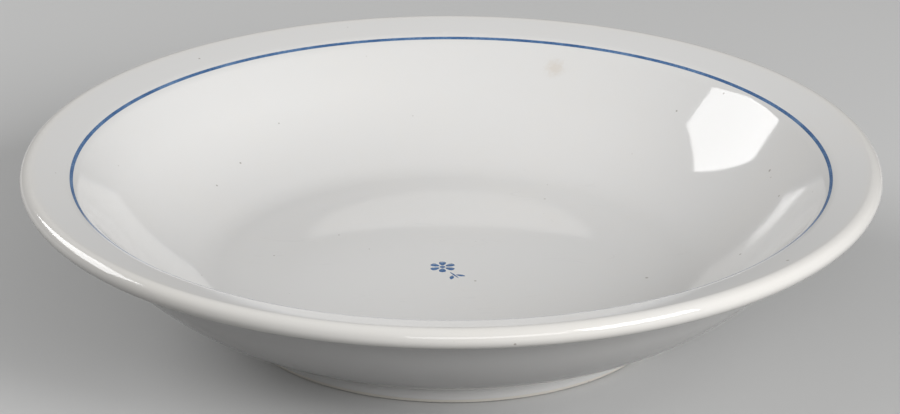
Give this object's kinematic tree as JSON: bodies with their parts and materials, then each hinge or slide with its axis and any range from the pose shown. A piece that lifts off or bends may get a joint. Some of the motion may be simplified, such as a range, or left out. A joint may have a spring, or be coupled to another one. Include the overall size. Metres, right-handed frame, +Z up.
{
  "type": "soup bowl",
  "caption": "Round white china soup bowl with a deep well, a narrow sloping rim with a rolled lip, a foot ring, a thin blue line round the well and a small blue flower printed in the well.",
  "frame": {"origin": "middle of the plane that the foot ring stands on, on the bowl's axis", "axes": "+Z up along the bowl's axis, from the foot to the rim; -Y towards the viewer of the picture, +X to the viewer's right"},
  "size_m": [0.23, 0.23, 0.0457],
  "materials": {
    "fired_china": "fired, matt and bare",
    "white_glaze": "clear gloss glaze over white china",
    "blue_print": "printed blue colour, glossy"
  },
  "bodies": {
    "root": {"china_body": "fired_china", "foot_ring": "fired_china", "main_glaze": "white_glaze", "recess_glaze": "white_glaze", "blue_line": "blue_print", "flower_eye": "blue_print", "petal_1": "blue_print", "petal_2": "blue_print", "petal_3": "blue_print", "petal_4": "blue_print", "petal_5": "blue_print", "petal_6": "blue_print", "flower_stem": "blue_print", "leaf_1": "blue_print", "leaf_2": "blue_print"}
  },
  "joints": []
}
